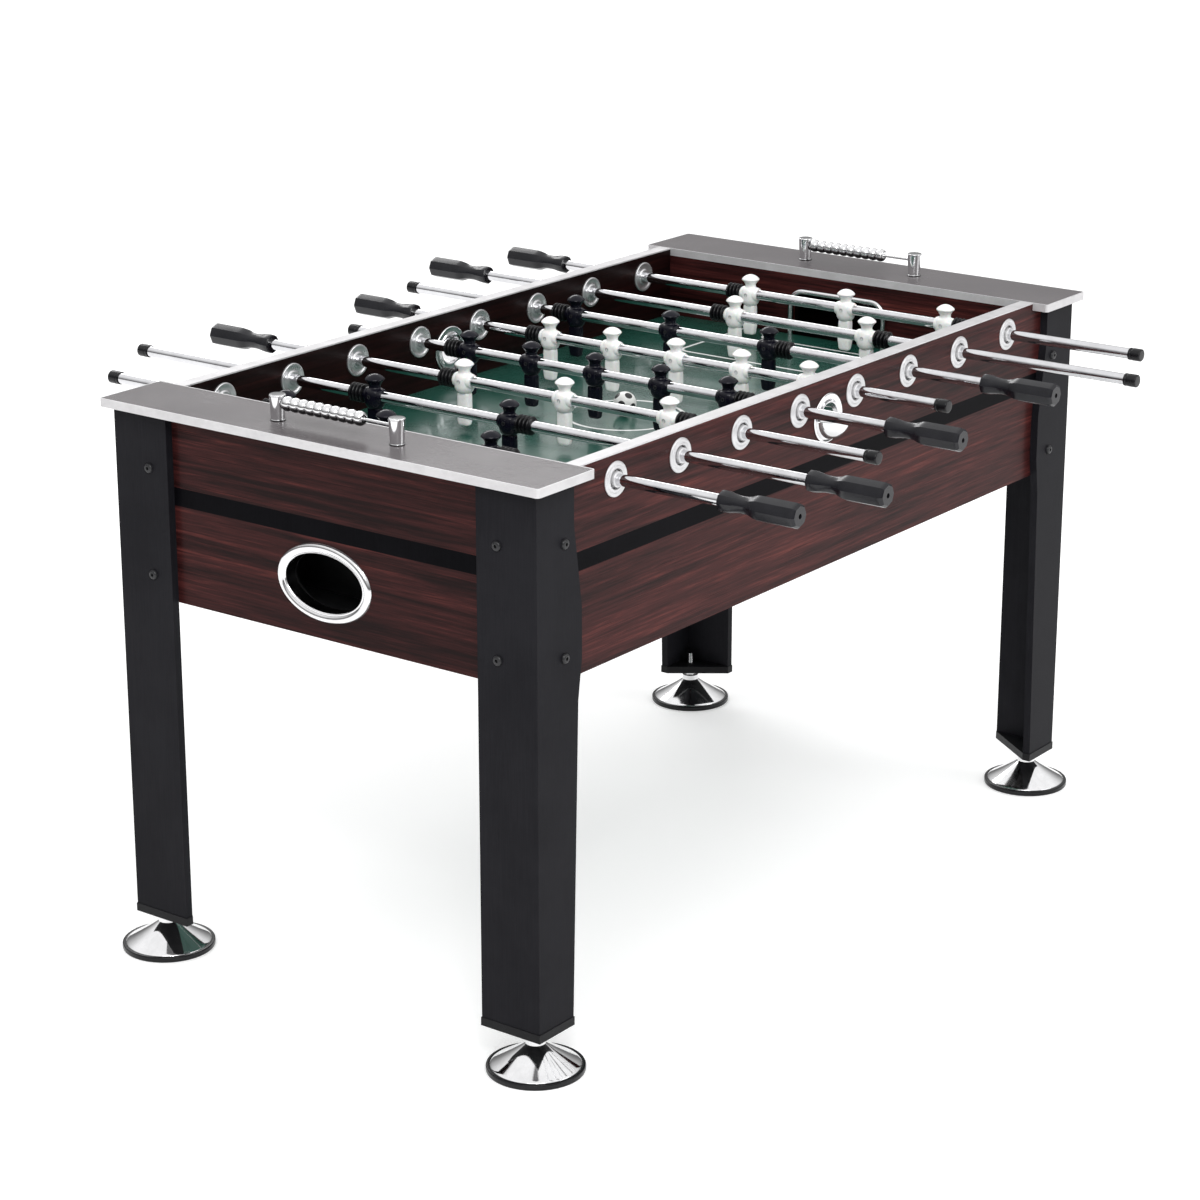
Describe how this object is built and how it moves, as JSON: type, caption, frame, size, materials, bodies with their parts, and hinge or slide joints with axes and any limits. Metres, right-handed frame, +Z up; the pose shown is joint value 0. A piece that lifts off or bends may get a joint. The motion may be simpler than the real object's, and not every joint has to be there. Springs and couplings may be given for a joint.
{
  "type": "foosball table",
  "caption": "Free-standing table football game: sliding, spinning rods with figures over a green field, chrome levelling feet, bead score counters and oval ball-return ports.",
  "frame": {"origin": "centre of the floor rectangle under the table", "axes": "+Z up; X along the table, -X the end nearer the viewer; Y across it, -Y the front long side"},
  "size_m": [1.446, 1.34, 0.856],
  "materials": {
    "cabinet_laminate": "dark mahogany-grain laminate, semi-gloss",
    "ledge_laminate": "warm grey laminate, satin",
    "silver_trim": "satin silver edge band",
    "stripe_black": "black inlay strip",
    "field_green": "glossy dark green printed field",
    "leg_black": "black fine-grain laminate, satin",
    "block_black": "black moulded shoe at the foot of a leg",
    "bolt_black": "black button-head bolt",
    "leveler_chrome": "polished, on a black rubber ring",
    "rod_steel": "polished steel tube",
    "men_black": "gloss black",
    "men_white": "gloss white",
    "grip_black": "satin black",
    "stop_rubber": "matt black rubber",
    "bearing_metal": "silver plated bush",
    "chrome_trim": "polished chrome",
    "bead_chrome": "polished chrome bead",
    "box_black": "black ball-return box",
    "ball_white": "white ball with black patches"
  },
  "bodies": {
    "cabinet": {"side_panel_front": "cabinet_laminate", "side_panel_back": "cabinet_laminate", "end_panel_near": "cabinet_laminate", "end_panel_far": "cabinet_laminate", "goal_walls": "cabinet_laminate", "playfield": "field_green", "end_ledges": "ledge_laminate", "silver_trims": "silver_trim", "accent_stripes": "stripe_black", "goal_frames": "chrome_trim", "port_rings": "chrome_trim", "return_boxes": "box_black", "ball_cups": "chrome_trim", "leg_shoes": "block_black", "leg_bolts": "bolt_black", "rod_bearings": "bearing_metal", "score_stands": "chrome_trim", "leg_near_front": "leg_black", "leg_near_back": "leg_black", "leg_far_front": "leg_black", "leg_far_back": "leg_black"},
    "leveler_near_front": {"leveler_near_front": "leveler_chrome"},
    "leveler_near_back": {"leveler_near_back": "leveler_chrome"},
    "leveler_far_front": {"leveler_far_front": "leveler_chrome"},
    "leveler_far_back": {"leveler_far_back": "leveler_chrome"},
    "rod1_slider": {"rod1_tube": "rod_steel"},
    "rod1_spinner": {"rod1_men": "men_black", "rod1_grip": "grip_black", "rod1_stops": "stop_rubber"},
    "rod2_slider": {"rod2_tube": "rod_steel"},
    "rod2_spinner": {"rod2_men": "men_black", "rod2_grip": "grip_black", "rod2_stops": "stop_rubber"},
    "rod3_slider": {"rod3_tube": "rod_steel"},
    "rod3_spinner": {"rod3_men": "men_white", "rod3_grip": "grip_black", "rod3_stops": "stop_rubber"},
    "rod4_slider": {"rod4_tube": "rod_steel"},
    "rod4_spinner": {"rod4_men": "men_black", "rod4_grip": "grip_black", "rod4_stops": "stop_rubber"},
    "rod5_slider": {"rod5_tube": "rod_steel"},
    "rod5_spinner": {"rod5_men": "men_white", "rod5_grip": "grip_black", "rod5_stops": "stop_rubber"},
    "rod6_slider": {"rod6_tube": "rod_steel"},
    "rod6_spinner": {"rod6_men": "men_black", "rod6_grip": "grip_black", "rod6_stops": "stop_rubber"},
    "rod7_slider": {"rod7_tube": "rod_steel"},
    "rod7_spinner": {"rod7_men": "men_white", "rod7_grip": "grip_black", "rod7_stops": "stop_rubber"},
    "rod8_slider": {"rod8_tube": "rod_steel"},
    "rod8_spinner": {"rod8_men": "men_white", "rod8_grip": "grip_black", "rod8_stops": "stop_rubber"},
    "score_beads_near": {"score_beads_near": "bead_chrome"},
    "score_beads_far": {"score_beads_far": "bead_chrome"},
    "ball": {"ball": "ball_white"}
  },
  "joints": [
    {"name": "leveler_near_front_screw", "type": "slide", "parent": "cabinet", "child": "leveler_near_front", "axis": [0, 0, -1], "range_m": [0, 0.012]},
    {"name": "leveler_near_back_screw", "type": "slide", "parent": "cabinet", "child": "leveler_near_back", "axis": [0, 0, -1], "range_m": [0, 0.012]},
    {"name": "leveler_far_front_screw", "type": "slide", "parent": "cabinet", "child": "leveler_far_front", "axis": [0, 0, -1], "range_m": [0, 0.012]},
    {"name": "leveler_far_back_screw", "type": "slide", "parent": "cabinet", "child": "leveler_far_back", "axis": [0, 0, -1], "range_m": [0, 0.012]},
    {"name": "rod1_slide", "type": "slide", "parent": "cabinet", "child": "rod1_slider", "axis": [0, 1, 0], "range_m": [-0.137, 0.073]},
    {"name": "rod1_turn", "type": "hinge", "parent": "rod1_slider", "child": "rod1_spinner", "pos_m": [-0.504, 0, 0.785], "axis": [0, 1, 0], "continuous": true},
    {"name": "rod2_slide", "type": "slide", "parent": "cabinet", "child": "rod2_slider", "axis": [0, 1, 0], "range_m": [-0.2195, 0.1115]},
    {"name": "rod2_turn", "type": "hinge", "parent": "rod2_slider", "child": "rod2_spinner", "pos_m": [-0.36, 0, 0.785], "axis": [0, 1, 0], "continuous": true},
    {"name": "rod3_slide", "type": "slide", "parent": "cabinet", "child": "rod3_slider", "axis": [0, 1, 0], "range_m": [-0.052, 0.158]},
    {"name": "rod3_turn", "type": "hinge", "parent": "rod3_slider", "child": "rod3_spinner", "pos_m": [-0.216, 0, 0.785], "axis": [0, 1, 0], "continuous": true},
    {"name": "rod4_slide", "type": "slide", "parent": "cabinet", "child": "rod4_slider", "axis": [0, 1, 0], "range_m": [-0.053, 0.051]},
    {"name": "rod4_turn", "type": "hinge", "parent": "rod4_slider", "child": "rod4_spinner", "pos_m": [-0.072, 0, 0.785], "axis": [0, 1, 0], "continuous": true},
    {"name": "rod5_slide", "type": "slide", "parent": "cabinet", "child": "rod5_slider", "axis": [0, 1, 0], "range_m": [-0.011, 0.093]},
    {"name": "rod5_turn", "type": "hinge", "parent": "rod5_slider", "child": "rod5_spinner", "pos_m": [0.072, 0, 0.785], "axis": [0, 1, 0], "continuous": true},
    {"name": "rod6_slide", "type": "slide", "parent": "cabinet", "child": "rod6_slider", "axis": [0, 1, 0], "range_m": [-0.177, 0.033]},
    {"name": "rod6_turn", "type": "hinge", "parent": "rod6_slider", "child": "rod6_spinner", "pos_m": [0.216, 0, 0.785], "axis": [0, 1, 0], "continuous": true},
    {"name": "rod7_slide", "type": "slide", "parent": "cabinet", "child": "rod7_slider", "axis": [0, 1, 0], "range_m": [-0.0945, 0.2365]},
    {"name": "rod7_turn", "type": "hinge", "parent": "rod7_slider", "child": "rod7_spinner", "pos_m": [0.36, 0, 0.785], "axis": [0, 1, 0], "continuous": true},
    {"name": "rod8_slide", "type": "slide", "parent": "cabinet", "child": "rod8_slider", "axis": [0, 1, 0], "range_m": [-0.042, 0.168]},
    {"name": "rod8_turn", "type": "hinge", "parent": "rod8_slider", "child": "rod8_spinner", "pos_m": [0.504, 0, 0.785], "axis": [0, 1, 0], "continuous": true},
    {"name": "score_beads_near_slide", "type": "slide", "parent": "cabinet", "child": "score_beads_near", "axis": [0, -1, 0], "range_m": [0, 0.0445]},
    {"name": "score_beads_far_slide", "type": "slide", "parent": "cabinet", "child": "score_beads_far", "axis": [0, -1, 0], "range_m": [0, 0.0445]},
    {"name": "ball_roll", "type": "slide", "parent": "cabinet", "child": "ball", "axis": [0, 1, 0], "range_m": [-0.3, 0.3]}
  ]
}
